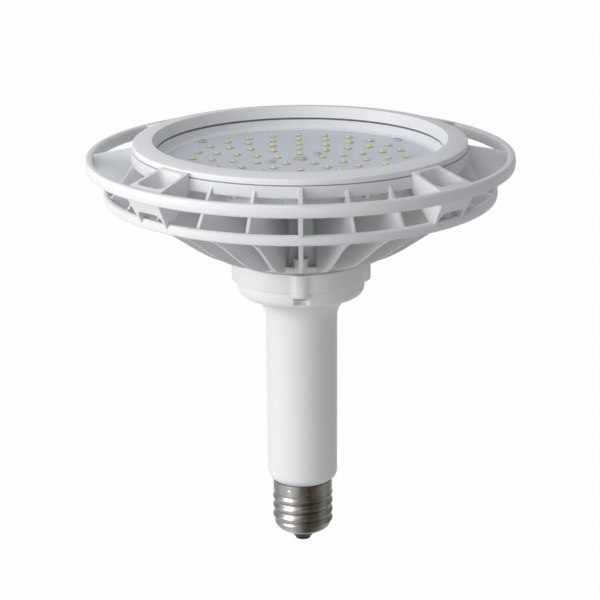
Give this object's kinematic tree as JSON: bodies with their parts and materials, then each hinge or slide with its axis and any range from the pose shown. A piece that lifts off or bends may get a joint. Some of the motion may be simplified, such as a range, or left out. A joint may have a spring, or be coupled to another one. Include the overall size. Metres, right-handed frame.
{
  "type": "high bay led bulb",
  "caption": "Wide LED lamp on a screw cap: a long white stem, a collar, a cast heat sink of radial fins and two rings, and a round clear window over a board of chips.",
  "frame": {"origin": "tip of the cap's centre contact, on the lamp's axis", "axes": "+Z along the lamp's axis from the cap to the window; the housing screws and main ribs lie on X and Y, and -Y is the front"},
  "size_m": [0.2726, 0.2726, 0.2722],
  "materials": {
    "casting": "white satin powder coat over a fine cast texture",
    "bezel": "white satin powder coat, smoother than the casting",
    "housing": "white moulded plastic with a soft gloss",
    "collar": "white moulded plastic with a soft gloss",
    "cap_plate": "nickel plated thin brass, warm grey, lightly scuffed",
    "contact": "dull solder-coated metal",
    "insulator": "black glass, smooth",
    "clear_cover": "clear, smooth",
    "seal_rubber": "grey silicone rubber",
    "sealant": "translucent grey-beige silicone",
    "reflector": "pale matt moulding",
    "light_board": "white solder mask on an aluminium board",
    "phosphor": "yellow-green phosphor under clear resin",
    "pad": "soft grey heat pad",
    "steel": "zinc plated steel",
    "card": "green printed board",
    "ferrite": "dark grey ferrite",
    "winding": "yellow tape over copper winding",
    "choke_wire": "enamelled copper",
    "capacitor_sleeve": "dark plastic sleeve",
    "component_case": "black moulded case",
    "film_case": "yellow moulded case",
    "varistor_coat": "blue epoxy coat",
    "fuse_case": "brown shrink sleeve",
    "lead_jacket_live": "black lead jacket",
    "lead_jacket_neutral": "white lead jacket",
    "lead_jacket_output": "red lead jacket",
    "cooling_plate": "plain folded aluminium"
  },
  "bodies": {
    "root": {"centre_contact": "contact", "cap_insulator": "insulator", "cap_shell": "cap_plate", "driver_housing": "housing", "mounting_collar": "collar", "housing_screws": "steel", "housing_gasket": "seal_rubber", "heat_sink": "casting", "thermal_pad": "pad", "led_board": "light_board", "led_chips": "phosphor", "board_screws": "steel", "wire_seal": "sealant", "reflector_ring": "reflector", "cover_gasket": "seal_rubber", "cover_lens": "clear_cover", "bezel_ring": "bezel", "bezel_screws": "steel", "driver_board": "card", "live_lead": "lead_jacket_live", "neutral_lead": "lead_jacket_neutral", "output_leads": "lead_jacket_output", "fuse": "fuse_case", "varistor": "varistor_coat", "film_capacitor": "film_case", "filter_choke": "choke_wire", "bridge_rectifier": "component_case", "bulk_capacitor": "capacitor_sleeve", "switch_transistor": "component_case", "transistor_sink": "cooling_plate", "transformer_core": "ferrite", "transformer_winding": "winding", "output_capacitor": "capacitor_sleeve"}
  },
  "joints": []
}
